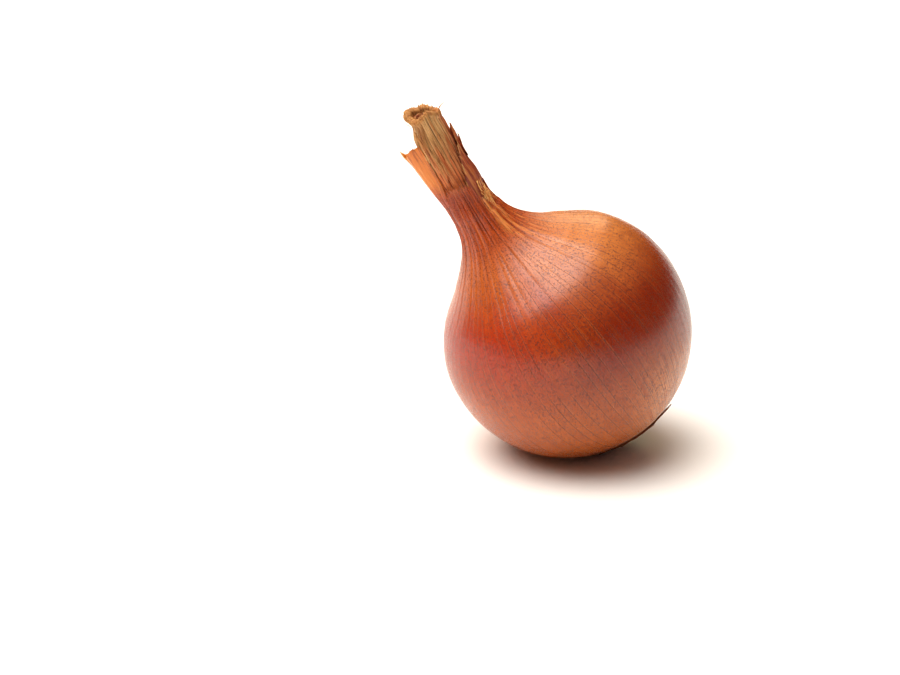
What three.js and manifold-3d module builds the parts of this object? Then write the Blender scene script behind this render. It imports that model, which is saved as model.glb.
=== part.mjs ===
// A whole brown onion, resting on a table as picked and cured: a round bulb that leans over on its side, its
// dried neck up to the left (-X) and its trimmed root end low on the right (+X). Millimetres, +Z up. The
// origin is the middle of the small flat spot that the bulb rests on.
import * as THREE from "three";
import { mergeVertices } from "three/addons/utils/BufferGeometryUtils.js";
import Module from "manifold-3d";

const wasm = await Module();
wasm.setup();

// The bulb and the line that it grew along, from its root plate to the cut end of its neck. Places on that
// line are millimetres from the bulb's middle. Leans are degrees from upright, towards -X.
const bulbRadius = 38;
const restHeight = 37; // of the bulb's middle, 1 mm under its radius, so that the lowest part is a flat spot
const bulbLean = 36;
const neckLean = 27;
const bendStart = 30;
const bendCorner = 48;
const neckReach = 38; // from the bend's corner to the neck's cut end
const neckSway = -1.5; // the cut end's lean towards the front
const lineStart = -45;
const lineSpare = 10; // of line past the cut end, for the longest torn tips

// The skin: radius and place of the points that its outline runs through, from the root seat to the collar.
const skinOutlinePoints = [
  [9.4, -36.5],
  [16.2, -34.2],
  [25.6, -28.1],
  [33.0, -18.8],
  [37.2, -7.4],
  [37.9, 3.0],
  [35.8, 12.8],
  [30.2, 22.2],
  [22.5, 28.9],
  [15.8, 34.6],
  [11.4, 39.6],
  [8.8, 44.4],
  [7.6, 49.0],
];
const skinColumns = 72;
const skinRows = 28;
const rootSeatRadius = 8.3;
const rootSeatPlace = -36;
const veinHeight = 0.22;
const pleatHeight = 0.42;
const shoulderFullness = 0.8; // of the side away from the neck's lean

// The collar: the skin's torn upper end, which stands round the neck and peels away on the left as a tongue.
const collarStart = 49;
const collarRadius = 6.9;
const collarLeftFullness = 0.35;
const collarEdge = 60;
const collarLowEdge = 54.5; // where it is torn lowest, at the right front
const collarLowAngle = 335;
const collarLowHalfWidth = 28;
const collarLowSlope = 38; // degrees over which it rises again to each side
const collarRows = 7;
const collarWall = 0.65;
const socketRadius = 6.1;
const socketFloor = 46.5;
const tongueAngle = 170; // degrees round the neck: 0 is right, 90 back, 180 left and 270 front
const tongueHalfWidth = 42;
const tongueSlope = 4; // degrees over which each side falls to the ragged edge
const tongueTop = 74.5;
const tongueTip = 1.5; // by which one corner of it stands out
const tongueTipAngle = 168;
const tonguePeel = 3; // at the tip, away from the stalk
const tongueHem = 0.6; // by which its sides close on the stalk again
const peelAngle = 165;
const peelStart = 52;

// The stalk: the dried leaf bases inside the collar, a ribbed tube with a hollow, torn end.
const stalkColumns = 48;
const stalkFoot = 46.9;
const stalkRows = 14;
const stalkTop = 84;
const stalkRadiusPoints = [
  [4.7, stalkFoot],
  [4.7, 54],
  [4.7, 60],
  [4.75, 68],
  [4.9, 74],
  [4.9, 78],
  [4.7, 81],
  [4.8, stalkTop],
];
const stalkFullness = 0.8; // at the front left, where no sheath lies on it
const stalkFullAngle = 212;
const waistDepth = 0.6; // on the left, under the lip
const waistPlace = 81.5;
const waistAngle = 175;
const stalkTwist = 0.3; // radians that its fibres turn from foot to top
const furrowColumns = [7, 19, 26, 33, 41];
const rollTurns = 1.4; // of the innermost leaf, rolled up in the hollow end
const rollThickness = 0.62;
const rollOuter = 3;
const rollInner = 0.9;
const stalkWall = 1.2;
const hollowFloor = 74;
const fibreHeight = 0.32;
const rimPoints = [
  [0, 82.2],
  [30, 82.8],
  [80, 84.3],
  [125, 85.3],
  [170, 85.2],
  [200, 84.3],
  [220, 83.8],
  [250, 84.2],
  [285, 84.9],
  [320, 83.4],
  [350, 82],
  [360, 82.2],
]; // degrees and place: the torn end is nearly level, so its left side is longer than its right
const lipFlare = 0.5; // most at the back left
const lipAngle = 150;
const lipProfile = [
  [-1.3, 0],
  [-0.3, -0.35],
  [0, -0.95],
  [-0.6, -1.6],
]; // place from the rim and radius from the flared wall, over the rolled lip

// The sheath: a dry brown leaf between collar and stalk, wrapped round the right and the back of the neck.
const sheathThickness = 0.6;
const sheathFoot = 47.5;
const sheathFrom = -88; // degrees, as tongueAngle
const sheathTo = 152;
const sheathEdge = 69.5;
const sheathLowEdge = 58;
const sheathRadiusPoints = [
  [5.9, 47.5],
  [5.95, 54],
  [6.0, 58],
  [6.0, 61],
  [5.9, 66],
  [5.8, 69],
  [6.15, 73],
  [6.5, 78],
]; // outer radius and place
const sheathBulge = 0.5; // where the collar's low edge leaves it free
const sheathPoints = [
  { angle: -22, halfWidth: 8, rise: 7.4 },
  { angle: -3, halfWidth: 7, rise: 3 },
  { angle: 30, halfWidth: 12, rise: 5 },
  { angle: 78, halfWidth: 14, rise: 4 },
];

// The root end: a corky pad in its seat, cut root stubs on it, and torn scraps of older skin round it.
const padRadius = 6.8;
const padThickness = 1.7;
const gap = 0.3;
const stubCount = 46;
const stubLength = 1.9;
const stubRadius = 0.62;
const scrapThickness = 0.5;
const scrapFoot = 14.6; // degrees from the root pole, seen from the bulb's middle
const scrapLift = 0.25;
const scraps = [
  { name: "root_scrap_upper", angle: 20, halfWidth: 28, reach: 9, sideReach: -0.55, phase: 0.5 },
  { name: "root_scrap_front", angle: 266, halfWidth: 46, reach: 7.5, sideReach: 0.7, phase: 2.2 },
  { name: "root_scrap_back", angle: 114, halfWidth: 34, reach: 6.5, sideReach: -0.55, phase: 4.1 },
];

const radians = THREE.MathUtils.degToRad;
const mix = THREE.MathUtils.lerp;
const ease = THREE.MathUtils.smoothstep;
const fullTurn = 2 * Math.PI;

// The same random numbers on every run.
function seededDraw(seed) {
  let state = seed;
  return () => {
    state = (Math.imul(state, 1664525) + 1013904223) >>> 0;
    return state / 4294967296;
  };
}

function leaning(degrees) {
  const angle = radians(degrees);
  return new THREE.Vector3(-Math.sin(angle), 0, Math.cos(angle));
}

function makeGrowthLine() {
  const axis = leaning(bulbLean);
  const start = axis.clone().multiplyScalar(lineStart);
  const bend = axis.clone().multiplyScalar(bendStart);
  const corner = axis.clone().multiplyScalar(bendCorner);
  const tip = corner.clone().addScaledVector(leaning(neckLean), neckReach);
  tip.y = neckSway;
  const outward = tip.clone().sub(corner).normalize();
  const line = new THREE.CurvePath();
  line.add(new THREE.LineCurve3(start, bend));
  line.add(new THREE.QuadraticBezierCurve3(bend, corner, tip));
  line.add(new THREE.LineCurve3(tip, tip.clone().addScaledVector(outward, lineSpare)));
  return line;
}

const growthLine = makeGrowthLine();
const lineLength = growthLine.getLength();

// The point at a place on the growth line, out from it by radius at an angle round it.
function pointAt(place, angle, radius) {
  const share = (place - lineStart) / lineLength;
  const forward = growthLine.getTangent(share);
  const right = new THREE.Vector3(0, 1, 0).cross(forward).normalize();
  const back = forward.clone().cross(right);
  return growthLine
    .getPoint(share)
    .addScaledVector(right, radius * Math.cos(angle))
    .addScaledVector(back, radius * Math.sin(angle));
}

// A closed body turned round the growth line. Each row is a function that gives the place and radius of a
// column, and the rows run from the line, up the outside and back to the line.
function turnedBody(rows, columns, columnAngle) {
  const flatOutline = rows.map((row, index) => new THREE.Vector2(1, index));
  const geometry = new THREE.LatheGeometry(flatOutline, columns);
  const spots = geometry.attributes.position;
  for (let i = 0; i <= columns; i++) {
    const column = i % columns;
    rows.forEach((row, j) => {
      const angle = columnAngle(column, j);
      const { place, radius } = row(column, angle);
      const spot = pointAt(place, angle, radius);
      spots.setXYZ(i * rows.length + j, spot.x, spot.y, spot.z);
    });
  }
  return geometry;
}

// A thin leaf as a closed solid. surface(across, along, depth) gives its points, with depth 0 on the inner
// face and 1 on the outer one. Both faces are split into triangles alike.
function thinLeaf(acrossSteps, alongSteps, surface) {
  const spots = [];
  const faces = [];
  const rowLength = acrossSteps + 1;
  const faceSize = rowLength * (alongSteps + 1);
  for (const depth of [1, 0])
    for (let j = 0; j <= alongSteps; j++)
      for (let i = 0; i <= acrossSteps; i++) spots.push(...surface(i / acrossSteps, j / alongSteps, depth));
  const outer = (i, j) => j * rowLength + i;
  const inner = (i, j) => faceSize + outer(i, j);
  const quad = (a, b, c, d) => faces.push(a, b, d, b, c, d);
  for (let j = 0; j < alongSteps; j++)
    for (let i = 0; i < acrossSteps; i++) {
      quad(outer(i, j), outer(i + 1, j), outer(i + 1, j + 1), outer(i, j + 1));
      faces.push(inner(i, j), inner(i, j + 1), inner(i + 1, j));
      faces.push(inner(i + 1, j), inner(i, j + 1), inner(i + 1, j + 1));
    }
  for (let i = 0; i < acrossSteps; i++) {
    quad(inner(i, 0), inner(i + 1, 0), outer(i + 1, 0), outer(i, 0));
    quad(outer(i, alongSteps), outer(i + 1, alongSteps), inner(i + 1, alongSteps), inner(i, alongSteps));
  }
  for (let j = 0; j < alongSteps; j++) {
    quad(outer(0, j), outer(0, j + 1), inner(0, j + 1), inner(0, j));
    quad(inner(acrossSteps, j), inner(acrossSteps, j + 1), outer(acrossSteps, j + 1), outer(acrossSteps, j));
  }
  const geometry = new THREE.BufferGeometry();
  geometry.setAttribute("position", new THREE.Float32BufferAttribute(spots, 3));
  geometry.setIndex(faces);
  return geometry;
}

function toSolid(geometry) {
  const bare = geometry.clone();
  bare.deleteAttribute("normal");
  bare.deleteAttribute("uv");
  const merged = mergeVertices(bare, 1e-3);
  return new wasm.Manifold(
    new wasm.Mesh({
      numProp: 3,
      vertProperties: merged.attributes.position.array,
      triVerts: new Uint32Array(merged.index.array),
    }),
  );
}

function toGeometry(solid) {
  const mesh = solid.getMesh();
  const geometry = new THREE.BufferGeometry();
  geometry.setAttribute("position", new THREE.BufferAttribute(mesh.vertProperties, 3));
  geometry.setIndex(new THREE.BufferAttribute(mesh.triVerts, 1));
  return geometry;
}

function joined(geometries) {
  return toGeometry(geometries.map(toSolid).reduce((whole, piece) => whole.add(piece)));
}

// How far a direction is from another, in degrees, from 0 to 180.
function apart(angle, degrees) {
  const turn = THREE.MathUtils.euclideanModulo(THREE.MathUtils.radToDeg(angle) - degrees, 360);
  return Math.min(turn, 360 - turn);
}

// Veins aren't evenly spaced: columns are drawn together and spread by two slow waves.
function skinAngle(column) {
  const even = (column / skinColumns) * fullTurn;
  return even + 0.05 * Math.sin(2 * even + 0.7) + 0.03 * Math.sin(5 * even + 2.1);
}

// The bulb is a little lobed, fuller on the side away from the bend, and every second column is a raised vein
// that turns into a deeper pleat where the skin is gathered into the neck.
function skinRadius(column, angle, place, radius) {
  const belly = ease(place, -34, -14) * (1 - ease(place, 22, 40));
  const lobes = 0.008 * Math.sin(2 * angle + 0.4) + 0.006 * Math.sin(3 * angle + 1.9);
  const shoulder = shoulderFullness * Math.cos(angle) * ease(place, 12, 33) * (1 - ease(place, 36, 50));
  const vein = veinHeight * ease(place, -36, -30) + (pleatHeight - veinHeight) * ease(place, 30, 46);
  const ridge = column % 2 ? -0.3 * vein : vein * (column % 6 ? 0.8 : 1.3);
  return radius * (1 + lobes * belly) + shoulder + ridge;
}

// Where the collar is torn low and leaves the sheath free: 1 at the right front, 0 elsewhere.
function lowShare(angle) {
  return 1 - ease(apart(angle, collarLowAngle) - collarLowHalfWidth, 0, collarLowSlope);
}

// Where the collar's torn edge is: ragged all round, with a tall tongue on the left.
function collarEdgeAt(column, angle) {
  const low = lowShare(angle);
  const teeth = column % 2 ? -1.2 : 0.9 + 0.9 * Math.sin(column * 1.7);
  const ragged = (0.7 * Math.sin(3 * angle + 1) + 0.5 * Math.sin(8 * angle) + teeth) * (1 - 0.6 * low);
  const tongue = THREE.MathUtils.clamp((tongueHalfWidth - apart(angle, tongueAngle)) / tongueSlope, 0, 1);
  const tip = tongueTip * ease(10 - apart(angle, tongueTipAngle), 0, 9);
  const top = tongueTop + (column % 2 ? -0.9 : 0.6) + tip;
  return mix(mix(collarEdge, collarLowEdge, low) + ragged, top, tongue);
}

// The tongue stands away from the stalk, further towards its tip, and its sides close on the stalk again.
function collarRadiusAt(place, angle) {
  const narrowing = mix(7.6, collarRadius, ease(place, collarStart, collarStart + 6));
  const fullness = collarLeftFullness * ease(place, collarStart, collarStart + 4);
  const loose = narrowing - fullness * Math.cos(angle);
  const side = 1 - ease(apart(angle, peelAngle), 10, 48);
  const lifted = Math.max(0, place - peelStart) / (tongueTop - peelStart);
  const hem = tongueHem * ease(apart(angle, peelAngle), 18, 46) * ease(place, 57, 64);
  return loose - hem + tonguePeel * side * Math.pow(lifted, 0.8);
}

function bulbWithSkin() {
  const rows = [
    () => ({ place: rootSeatPlace, radius: 0 }),
    () => ({ place: rootSeatPlace, radius: rootSeatRadius * 0.6 }),
    () => ({ place: rootSeatPlace, radius: rootSeatRadius }),
  ];
  const outline = new THREE.SplineCurve(skinOutlinePoints.map(([x, y]) => new THREE.Vector2(x, y)));
  for (const { x: radius, y: place } of outline.getSpacedPoints(skinRows))
    rows.push((column, angle) => ({ place, radius: skinRadius(column, angle, place, radius) }));
  const collarRow = (step, wall) => (column, angle) => {
    const place = mix(collarStart, collarEdgeAt(column, angle), step / collarRows);
    const radius = collarRadiusAt(place, angle);
    const outerRadius = radius + (column % 2 ? -0.3 : 0.8) * pleatHeight;
    return { place, radius: wall ? Math.max(socketRadius, radius - collarWall) : outerRadius };
  };
  for (let step = 1; step <= collarRows; step++) rows.push(collarRow(step, false));
  for (let step = collarRows; step >= 1; step--) rows.push(collarRow(step, true));
  rows.push(() => ({ place: socketFloor, radius: socketRadius }));
  rows.push(() => ({ place: socketFloor, radius: 0 }));
  const geometry = turnedBody(rows, skinColumns, skinAngle);
  const spots = geometry.attributes.position;
  for (let k = 0; k < spots.count; k++) spots.setZ(k, Math.max(spots.getZ(k), -restHeight));
  return geometry;
}

// The value at a place, from a list of [value, place] pairs.
function valueAt(points, place) {
  const found = points.findIndex(([, at]) => at >= place);
  const next = found < 0 ? points.length - 1 : Math.max(1, found);
  const [from, start] = points[next - 1];
  const [to, stop] = points[next];
  return mix(from, to, THREE.MathUtils.clamp((place - start) / (stop - start), 0, 1));
}

// The tube is fuller at the front left, and has a waist on the left under the lip.
function stalkRadiusAt(place, angle) {
  const full = 1 - ease(apart(angle, stalkFullAngle), 35, 60);
  const waist = ease(90 - apart(angle, waistAngle), 0, 70) * Math.exp(-Math.pow((place - waistPlace) / 2.2, 2));
  const fullness = stalkFullness * full * (1 - ease(place, 75, 81));
  return valueAt(stalkRadiusPoints, place) + fullness - waistDepth * waist;
}

// Fibres of unlike strength, with a few deep furrows between them. They are low where the collar holds them.
function fibreRelief(column, place) {
  const furrow = furrowColumns.includes(column) ? -2.4 : 0;
  const strength = column % 2 ? -0.4 + furrow : 0.55 + 0.45 * Math.sin(column * 2.3);
  return fibreHeight * strength * mix(0.35, 1, ease(place, 52, 62));
}

function stalkRimAt(column, angle) {
  const degrees = THREE.MathUtils.euclideanModulo(THREE.MathUtils.radToDeg(angle), 360);
  const level = valueAt(rimPoints.map(([at, place]) => [place, at]), degrees);
  return level + 0.25 * Math.sin(5 * angle + 2) + (column % 2 ? -0.45 : 0.35);
}

// The stalk's hollow end holds the innermost leaf, rolled up like a scroll.
function rolledLeaf() {
  return thinLeaf(30, 3, (across, along, depth) => {
    const angle = radians(70) + across * rollTurns * fullTurn;
    const top = stalkTop - 2.6 + 0.8 * Math.sin(across * 17) + 0.5 * Math.sin(across * 41);
    const place = mix(hollowFloor - 1.5, top, along);
    const radius = mix(rollOuter, rollInner, across) + (depth - 0.5) * rollThickness;
    return pointAt(place, angle, radius).toArray();
  });
}

function neckStalk() {
  const rows = [() => ({ place: stalkFoot, radius: 0 })];
  for (let step = 0; step <= stalkRows; step++)
    rows.push((column, angle) => {
      const place = mix(stalkFoot, stalkRimAt(column, angle) - 2.8, step / stalkRows);
      return { place, radius: stalkRadiusAt(place, angle) + fibreRelief(column, place) };
    });
  for (const [above, outwards] of lipProfile)
    rows.push((column, angle) => {
      const place = stalkRimAt(column, angle) + above;
      const flare = lipFlare * (0.4 + 0.6 * ease(120 - apart(angle, lipAngle), 0, 60));
      const ridge = 0.4 * fibreRelief(column, place);
      return { place, radius: stalkRadiusAt(place, angle) + flare + ridge + outwards };
    });
  for (const share of [0.2, 0.45, 0.7, 1])
    rows.push((column, angle) => {
      const place = mix(stalkRimAt(column, angle), hollowFloor, share);
      const furrow = 0.6 * Math.min(0, fibreRelief(column, place));
      return { place, radius: stalkRadiusAt(place, angle) - stalkWall + furrow };
    });
  rows.push(() => ({ place: hollowFloor - 0.8, radius: 0 }));
  const turnAt = (j) => stalkTwist * (Math.min(1, j / stalkRows) - 1);
  const twisted = (column, j) => (column / stalkColumns) * fullTurn + turnAt(j);
  return joined([turnedBody(rows, stalkColumns, twisted), rolledLeaf()]);
}

// The sheath's upper edge: highest on the right, with split points, and torn down towards both sides.
function sheathEdgeAt(across, degrees) {
  const shoulders = ease(degrees, sheathFrom, -42) * (1 - ease(degrees, 80, sheathTo));
  const ragged = 0.6 * Math.sin(across * 23 + 1) + 0.6 * Math.sin(across * 61);
  let edge = mix(sheathLowEdge, sheathEdge, shoulders) + ragged;
  for (const { angle, halfWidth, rise } of sheathPoints)
    edge += rise * Math.max(0, 1 - apart(radians(degrees), angle) / halfWidth);
  return edge;
}

function sheath() {
  return thinLeaf(56, 10, (across, along, depth) => {
    const degrees = mix(sheathFrom, sheathTo, across);
    const place = mix(sheathFoot, sheathEdgeAt(across, degrees), along);
    const free = lowShare(radians(degrees)) * ease(place, 56.5, 59) * (1 - ease(place, 61, 65));
    const flutter = 0.15 * Math.abs(Math.sin(across * 70)) * ease(place, 68, 72);
    const outer = valueAt(sheathRadiusPoints, place) + sheathBulge * free + flutter;
    return pointAt(place, radians(degrees), outer - (1 - depth) * sheathThickness).toArray();
  });
}

// The corky root plate, domed a little, with the cut ends of its roots standing out of it.
function rootPad() {
  const top = rootSeatPlace - gap;
  const uneven = (angle) => 0.25 * Math.sin(5 * angle + 1);
  const rim = (place, radius) => (column, angle) => ({ place, radius: radius + uneven(angle) });
  const rows = [
    () => ({ place: top - padThickness - 0.5, radius: 0 }),
    rim(top - padThickness - 0.3, padRadius * 0.55),
    rim(top - padThickness + 0.2, padRadius * 0.9),
    rim(top - 0.5, padRadius),
    rim(top, padRadius - 0.3),
    () => ({ place: top, radius: 0 }),
  ];
  const draw = seededDraw(7);
  const pieces = [turnedBody(rows, 24, (column) => (column / 24) * fullTurn)];
  for (let n = 0; n < stubCount; n++) {
    const spread = Math.sqrt((n + 0.5) / stubCount);
    const angle = n * radians(137.5) + 0.3 * draw();
    const fromMiddle = spread * (padRadius - 0.9);
    const length = stubLength * (0.65 + 0.5 * draw()) * mix(1, 0.7, spread);
    const thickness = stubRadius * (0.75 + 0.4 * draw());
    const stub = new THREE.CylinderGeometry(thickness, thickness * 0.75, length + 1, 6);
    const foot = pointAt(top - padThickness + 0.9, angle, fromMiddle);
    const end = pointAt(top - padThickness - 0.1 - length, angle, fromMiddle + 0.9 * spread);
    const direction = end.clone().sub(foot).normalize();
    stub.applyQuaternion(new THREE.Quaternion().setFromUnitVectors(new THREE.Vector3(0, -1, 0), direction));
    const middle = foot.clone().add(end).multiplyScalar(0.5);
    stub.translate(middle.x, middle.y, middle.z);
    pieces.push(stub);
  }
  return joined(pieces);
}

// A scrap of older skin, held at the root plate's edge and lifted off the bulb at its torn end.
function rootScrap({ angle: middle, halfWidth, reach, sideReach, phase }) {
  return thinLeaf(16, 5, (across, along, depth) => {
    const side = across * 2 - 1;
    const angle = radians(middle + side * halfWidth);
    const ragged = 0.16 * Math.sin(across * 19 + phase) + 0.1 * Math.sin(across * 43 + phase);
    const fromPole = radians(scrapFoot + along * reach * (1 + sideReach * side * side + ragged));
    const lift = gap + veinHeight + along * along * scrapLift + 0.1 * Math.sin(across * 25 + phase) * along;
    const distance = bulbRadius - 0.1 + lift + depth * scrapThickness;
    return pointAt(-distance * Math.cos(fromPole), angle, distance * Math.sin(fromPole)).toArray();
  });
}

function material(color, roughness) {
  return new THREE.MeshStandardMaterial({ color, roughness, metalness: 0 });
}

const skinBrown = material(0xb4552b, 0.42);
const sheathBrown = material(0x9a5230, 0.6);
const straw = material(0xc39a62, 0.75);
const cork = material(0xc9b383, 0.9);
const scrapBrown = material(0x8a4a2a, 0.55);

const onion = new THREE.Group();
onion.position.z = restHeight;

function addPiece(name, geometry, finish) {
  const mesh = new THREE.Mesh(geometry, finish);
  mesh.name = name;
  onion.add(mesh);
}

addPiece("bulb", bulbWithSkin(), skinBrown);
addPiece("neck_stalk", neckStalk(), straw);
addPiece("neck_sheath", sheath(), sheathBrown);
addPiece("root_pad", rootPad(), cork);
for (const scrap of scraps) addPiece(scrap.name, rootScrap(scrap), scrapBrown);

export default onion;
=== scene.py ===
import math
import random

import bpy
import numpy as np
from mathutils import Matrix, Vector


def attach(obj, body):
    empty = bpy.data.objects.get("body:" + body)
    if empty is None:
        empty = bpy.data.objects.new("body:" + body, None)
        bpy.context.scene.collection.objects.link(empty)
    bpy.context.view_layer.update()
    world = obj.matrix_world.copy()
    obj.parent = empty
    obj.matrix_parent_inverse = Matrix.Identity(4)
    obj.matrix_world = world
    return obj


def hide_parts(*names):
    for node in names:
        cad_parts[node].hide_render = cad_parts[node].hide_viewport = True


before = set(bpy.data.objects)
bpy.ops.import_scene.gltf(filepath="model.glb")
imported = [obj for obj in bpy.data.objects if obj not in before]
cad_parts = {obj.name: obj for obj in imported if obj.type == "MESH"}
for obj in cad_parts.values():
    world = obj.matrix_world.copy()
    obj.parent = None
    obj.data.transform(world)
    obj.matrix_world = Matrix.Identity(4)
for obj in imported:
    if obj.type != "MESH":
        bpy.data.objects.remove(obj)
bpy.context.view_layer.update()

# Sizes are millimetres, and places are millimetres along the line that the onion grew on, counted from the
# bulb's middle. Angles are degrees round that line: 0 is right, 90 back, 180 left and 270 front.
MM = 0.001
MERGE_DISTANCE = 0.001
REST_HEIGHT = 37
BULB_RADIUS = 38
BULB_LEAN = 36
NECK_LEAN = 27
BEND_START = 30
BEND_CORNER = 48
NECK_REACH = 38
NECK_SWAY = -1.5
LINE_START = -45
LINE_SPARE = 10
LINE_STEPS = 300

# The skin's radius at each place, from the root seat to the collar
SKIN_OUTLINE = [
    (9.4, -36.5), (16.2, -34.2), (25.6, -28.1), (33.0, -18.8), (37.2, -7.4), (37.9, 3.0), (35.8, 12.8),
    (30.2, 22.2), (22.5, 28.9), (15.8, 34.6), (11.4, 39.6), (8.8, 44.4), (7.6, 49.0),
]
ROOT_SEAT_RADIUS = 8.3
ROOT_SEAT_PLACE = -36
SHOULDER_FULLNESS = 0.8
COLLAR_START = 49
COLLAR_RADIUS = 6.9
COLLAR_LEFT_FULLNESS = 0.35
COLLAR_EDGE = 60
COLLAR_LOW_EDGE = 54.5
COLLAR_LOW_ANGLE = 335
COLLAR_WALL = 0.65
SOCKET_RADIUS = 6.1
SOCKET_FLOOR = 46.5
TONGUE_ANGLE = 170
TONGUE_HALF_WIDTH = 42
TONGUE_SLOPE = 4
TONGUE_TOP = 74.5
TONGUE_PEEL = 3.0
PEEL_ANGLE = 165
PEEL_START = 52
TIP_ANGLE = 168
TIP_RISE = 2.4
KNOT_ANGLE = 318
THINNEST_EDGE = 0.16

# The stalk's radius at each place, and the rim's place in each direction
STALK_OUTLINE = [(4.7, 46.9), (4.7, 54), (4.7, 60), (4.75, 68), (4.9, 74), (4.9, 78), (4.7, 81), (4.8, 86)]
STALK_FULLNESS = 0.9
STALK_FULL_ANGLE = 212
STALK_WAIST = 0.6
STALK_WAIST_PLACE = 81.5
STALK_WAIST_ANGLE = 175
LIP_ANGLE = 150
STALK_FOOT = 46.9
STALK_TOP = 84
STALK_WALL = 1.2
STALK_TWIST = 17
HOLLOW_FLOOR = 74
RIM_PLACES = [
    (0, 82.2), (30, 82.8), (80, 84.3), (125, 85.3), (170, 85.2), (200, 84.3),
    (220, 83.8), (250, 84.2), (285, 84.9), (320, 83.4), (350, 82),
]
FURROWS = [7 / 48, 19 / 48, 26 / 48, 33 / 48, 41 / 48]

# Loose fibres; each splinter has its angle, its reach and how far it bends out
STRAW_COUNT = 34
STRAW_THICKNESS = 0.12
FRAY_COUNT = 22
FRAY_ANGLE = 315
FRAY_THICKNESS = 0.1
THREAD_COUNT = 22
SPLINTER_START = 80.6
SPLINTERS = [(352, 3.0, 2.4), (8, 2.2, 1.7), (330, 3.2, 0.9), (176, 2.6, 0.7)]

# The sheath; each of its torn points has its angle, half its width in degrees and its rise
SHEATH_FROM = -88
SHEATH_TO = 152
SHEATH_FOOT = 47.5
SHEATH_EDGE = 69.5
SHEATH_LOW_EDGE = 58
SHEATH_THICKNESS = 0.3
SHEATH_OUTLINE = [
    (5.9, 47.5), (5.95, 54), (6.0, 58), (6.0, 61), (5.95, 66), (5.75, 68), (6.1, 72), (6.6, 79),
]
SHEATH_BULGE = 0.5
SHEATH_POINTS = [(-22, 8, 8.2), (-7, 6, 4.2), (-40, 6, 2.5), (30, 12, 5), (78, 14, 4)]
ROLLED_LEAF_THICKNESS = 0.22

# The root end; each scrap has its angle, half its width and its reach in degrees, how much further its sides
# reach, and a number that sets its waves
PAD_RADIUS = 6.8
PAD_THICKNESS = 1.7
GAP = 0.3
STUB_COUNT = 74
STUB_LENGTH = 1.9
GOLDEN_ANGLE = 137.5
SCRAP_FOOT = 14.6
SCRAP_LIFT = 0.2
SCRAP_THICKNESS = 0.2
SCRAPS = [
    ("root_scrap_upper", 20, 28, 9, -0.55, 0.5),
    ("root_scrap_front", 266, 46, 7.5, 0.7, 2.2),
    ("root_scrap_back", 114, 34, 6.5, -0.55, 4.1),
]


def tone(red, green, blue):
    """A colour as seen on a screen, from 0 to 255, as the shader's linear colour."""
    linear = [((part / 255 + 0.055) / 1.055) ** 2.4 for part in (red, green, blue)]
    return (*linear, 1.0)


def ease(value, start, end):
    """A smooth rise from 0 at start to 1 at end."""
    share = np.clip((value - start) / (end - start), 0, 1)
    return share * share * (3 - 2 * share)


def mix(low, high, share):
    return low + (high - low) * share


def stretch(along, start, end):
    """How far along is between start and end, from 0 to 1."""
    return np.clip((along - start) / (end - start), 0, 1)


def apart(degrees, other):
    """How far a direction is from another, in degrees, from 0 to 180."""
    turn = np.mod(degrees - other, 360)
    return np.minimum(turn, 360 - turn)


def smooth_outline(points, steps=24):
    """Points on the smooth curve that runs through an outline's points."""
    points = np.array(points, float)
    padded = np.vstack([points[:1], points, points[-1:]])
    share = np.linspace(0, 1, steps, endpoint=False)[:, None]
    curve = []
    for before, start, end, after in zip(padded, padded[1:], padded[2:], padded[3:]):
        leaving = (end - before) / 2
        arriving = (after - start) / 2
        cubic = 2 * start - 2 * end + leaving + arriving
        square = 3 * end - 3 * start - 2 * leaving - arriving
        curve.append(cubic * share**3 + square * share**2 + leaving * share + start)
    return np.vstack(curve + [points[-1:]])


# The line that the onion grew on


def leaning(degrees):
    angle = math.radians(degrees)
    return np.array([-math.sin(angle), 0, math.cos(angle)])


def growth_line():
    axis = leaning(BULB_LEAN)
    start = axis * LINE_START
    bend = axis * BEND_START
    corner = axis * BEND_CORNER
    tip = corner + leaning(NECK_LEAN) * NECK_REACH
    tip[1] = NECK_SWAY
    outward = (tip - corner) / np.linalg.norm(tip - corner)
    share = np.linspace(0, 1, LINE_STEPS)[:, None]
    straight = start + (bend - start) * share
    curved = (1 - share) ** 2 * bend + 2 * share * (1 - share) * corner + share**2 * tip
    spare = tip + outward * LINE_SPARE * share
    points = np.vstack([straight[:-1], curved[:-1], spare])
    steps = np.linalg.norm(np.diff(points, axis=0), axis=1)
    places = LINE_START + np.concatenate([[0], np.cumsum(steps)])
    directions = np.gradient(points, places, axis=0)
    return places, points + np.array([0, 0, REST_HEIGHT]), directions


LINE_PLACES, LINE_POINTS, LINE_DIRECTIONS = growth_line()


def along_line(places, values):
    return np.stack([np.interp(places, LINE_PLACES, values[:, k]) for k in range(3)], -1)


def unit(vectors):
    return vectors / np.linalg.norm(vectors, axis=-1, keepdims=True)


def spots_at(places, degrees, radii):
    """Points at places on the growth line, out from it by radii in the directions given."""
    angle = np.radians(degrees)
    forward = unit(along_line(places, LINE_DIRECTIONS))
    right = unit(np.cross([0, 1, 0], forward))
    back = np.cross(forward, right)
    outward = right * np.cos(angle)[:, None] + back * np.sin(angle)[:, None]
    return along_line(places, LINE_POINTS) + outward * radii[:, None]


# Uneven growth, the same on every run


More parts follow.
